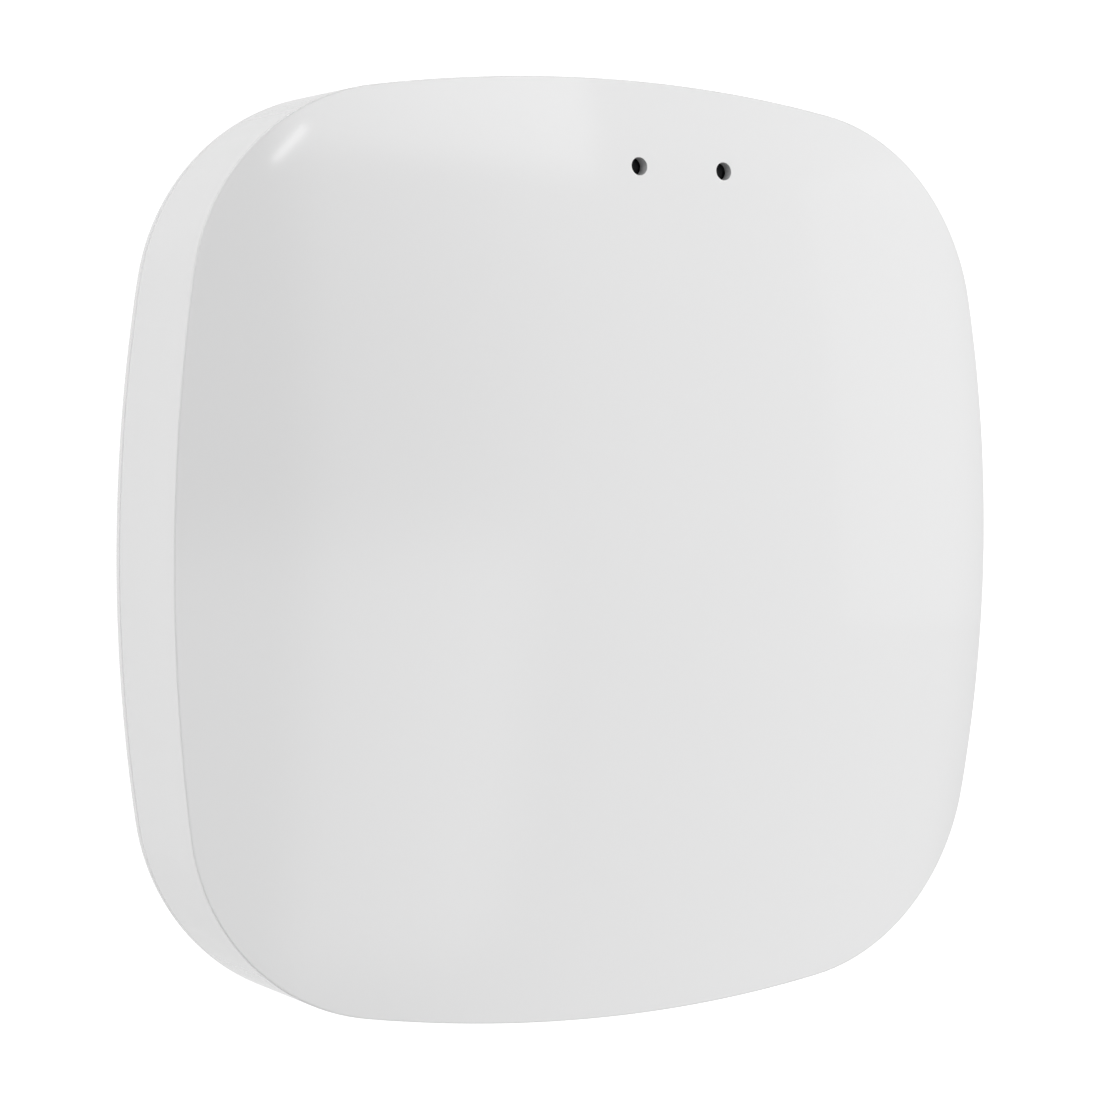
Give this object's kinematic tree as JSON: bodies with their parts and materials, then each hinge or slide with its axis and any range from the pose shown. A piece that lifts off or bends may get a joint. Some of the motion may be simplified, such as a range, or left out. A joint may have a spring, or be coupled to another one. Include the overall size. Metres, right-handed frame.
{
  "type": "smart home hub",
  "caption": "Flat cushion-shaped wireless home gateway with a crowned gloss face, two indicator holes, an Ethernet socket, a micro-USB inlet and a sprung pairing button.",
  "frame": {"origin": "middle of the footprint, on the plane that the rubber feet stand on", "axes": "+Z out of the crowned face, +Y towards the edge with the sockets and indicators, +X right seen from above"},
  "size_m": [0.09, 0.09, 0.0205],
  "materials": {
    "shell_white": "polished",
    "cover_white": "fine texture",
    "button_white": "satin",
    "foot_rubber": "matt",
    "screw_steel": "zinc plated",
    "label_film": "satin film",
    "board_mask": "solder mask",
    "radio_board_mask": "solder mask",
    "socket_plastic": "moulded",
    "socket_steel": "tin plated",
    "contact_gold": "plated",
    "track_gold": "plated",
    "chip_resin": "moulded resin",
    "lead_tin": "tinned",
    "plunger_nylon": "moulded",
    "lamp_resin": "clear resin",
    "pipe_smoke": "polished, smoke tint",
    "baffle_black": "moulded",
    "pad_silicone": "soft",
    "spreader_aluminium": "extruded",
    "can_steel": "drawn, tin plated",
    "can_aluminium": "drawn",
    "ferrite_grey": "sintered",
    "chip_ceramic": "fired"
  },
  "bodies": {
    "hub": {"front_shell": "shell_white", "back_cover": "cover_white", "rubber_feet": "foot_rubber", "case_screws": "screw_steel", "rating_label": "label_film", "main_board": "board_mask", "board_screws": "screw_steel", "ethernet_housing": "socket_plastic", "ethernet_shield": "socket_steel", "ethernet_contacts": "contact_gold", "ethernet_transformer": "chip_resin", "transformer_leads": "lead_tin", "usb_shell": "socket_steel", "usb_tongue": "socket_plastic", "usb_contacts": "contact_gold", "switch_body": "socket_plastic", "switch_bracket": "socket_steel", "left_led": "lamp_resin", "right_led": "lamp_resin", "left_light_pipe": "pipe_smoke", "right_light_pipe": "pipe_smoke", "light_baffle": "baffle_black", "processor": "chip_resin", "thermal_pad": "pad_silicone", "heat_spreader": "spreader_aluminium", "memory_chip": "chip_resin", "flash_chip": "chip_resin", "zigbee_board": "radio_board_mask", "zigbee_shield": "can_steel", "zigbee_antenna": "track_gold", "wifi_board": "radio_board_mask", "wifi_shield": "can_steel", "wifi_antenna": "track_gold", "clock_crystal": "can_steel", "power_inductor": "ferrite_grey", "power_regulator": "chip_resin", "filter_capacitors": "can_aluminium", "small_parts": "chip_ceramic", "service_header": "socket_plastic", "service_pins": "contact_gold"},
    "button": {"button_cap": "button_white"},
    "plunger": {"switch_plunger": "plunger_nylon"}
  },
  "joints": [
    {"name": "button_press", "type": "slide", "parent": "hub", "child": "button", "axis": [0, -1, 0], "range_m": [0, 0.00025], "stiffness_N_per_m": 600, "springref_m": -0.0005},
    {"name": "plunger_press", "type": "slide", "parent": "hub", "child": "plunger", "axis": [0, -1, 0], "range_m": [0, 0.00025]}
  ],
  "couplings": [
    {"joint": "plunger_press", "follows": "button_press", "ratio": 1}
  ]
}
